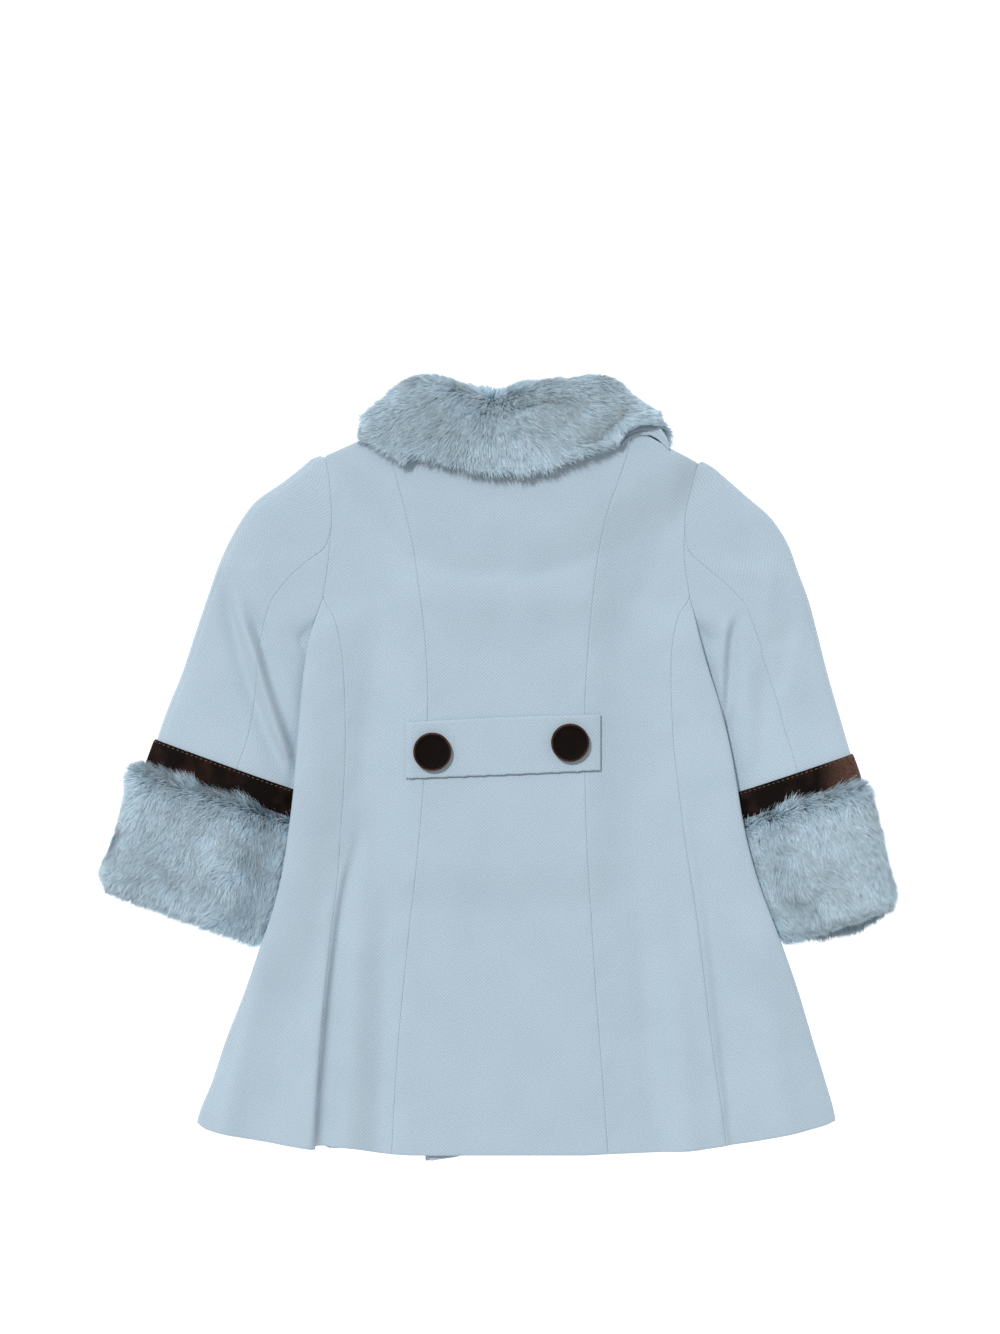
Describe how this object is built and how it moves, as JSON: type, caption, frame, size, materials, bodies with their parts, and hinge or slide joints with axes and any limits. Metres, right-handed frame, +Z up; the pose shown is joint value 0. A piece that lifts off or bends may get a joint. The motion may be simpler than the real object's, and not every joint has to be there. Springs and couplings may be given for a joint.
{
  "type": "toddler's button-up coat, laid flat with its back up",
  "caption": "Pale blue wool toddler's coat laid flat with its back up, with faux-fur collar and cuffs, velvet ribbons and a buttoned half belt.",
  "frame": {"origin": "on the surface that the coat lies on, under the middle of its box", "axes": "+Z up from that surface out of the coat's back, +Y towards the collar, +X towards the wearer's right sleeve"},
  "size_m": [0.4835, 0.4727, 0.0282],
  "materials": {
    "wool": "matte",
    "fur": "matte",
    "velvet": "satin"
  },
  "bodies": {
    "root": {"centre_back": "wool", "side_back_left": "wool", "side_back_right": "wool", "side_panel_left": "wool", "side_panel_right": "wool", "front_left": "wool", "front_right": "wool", "sleeve_top_left": "wool", "sleeve_top_right": "wool", "sleeve_under_left": "wool", "sleeve_under_right": "wool", "ribbon_left": "velvet", "ribbon_right": "velvet", "cuff_left": "fur", "cuff_right": "fur", "collar_back": "fur", "collar_front_left": "fur", "collar_front_right": "fur", "half_belt": "wool", "belt_button_left": "velvet", "belt_button_right": "velvet", "front_button_inner_1": "velvet", "front_button_inner_2": "velvet", "front_button_inner_3": "velvet", "front_button_outer_1": "velvet", "front_button_outer_2": "velvet", "front_button_outer_3": "velvet"}
  },
  "joints": []
}
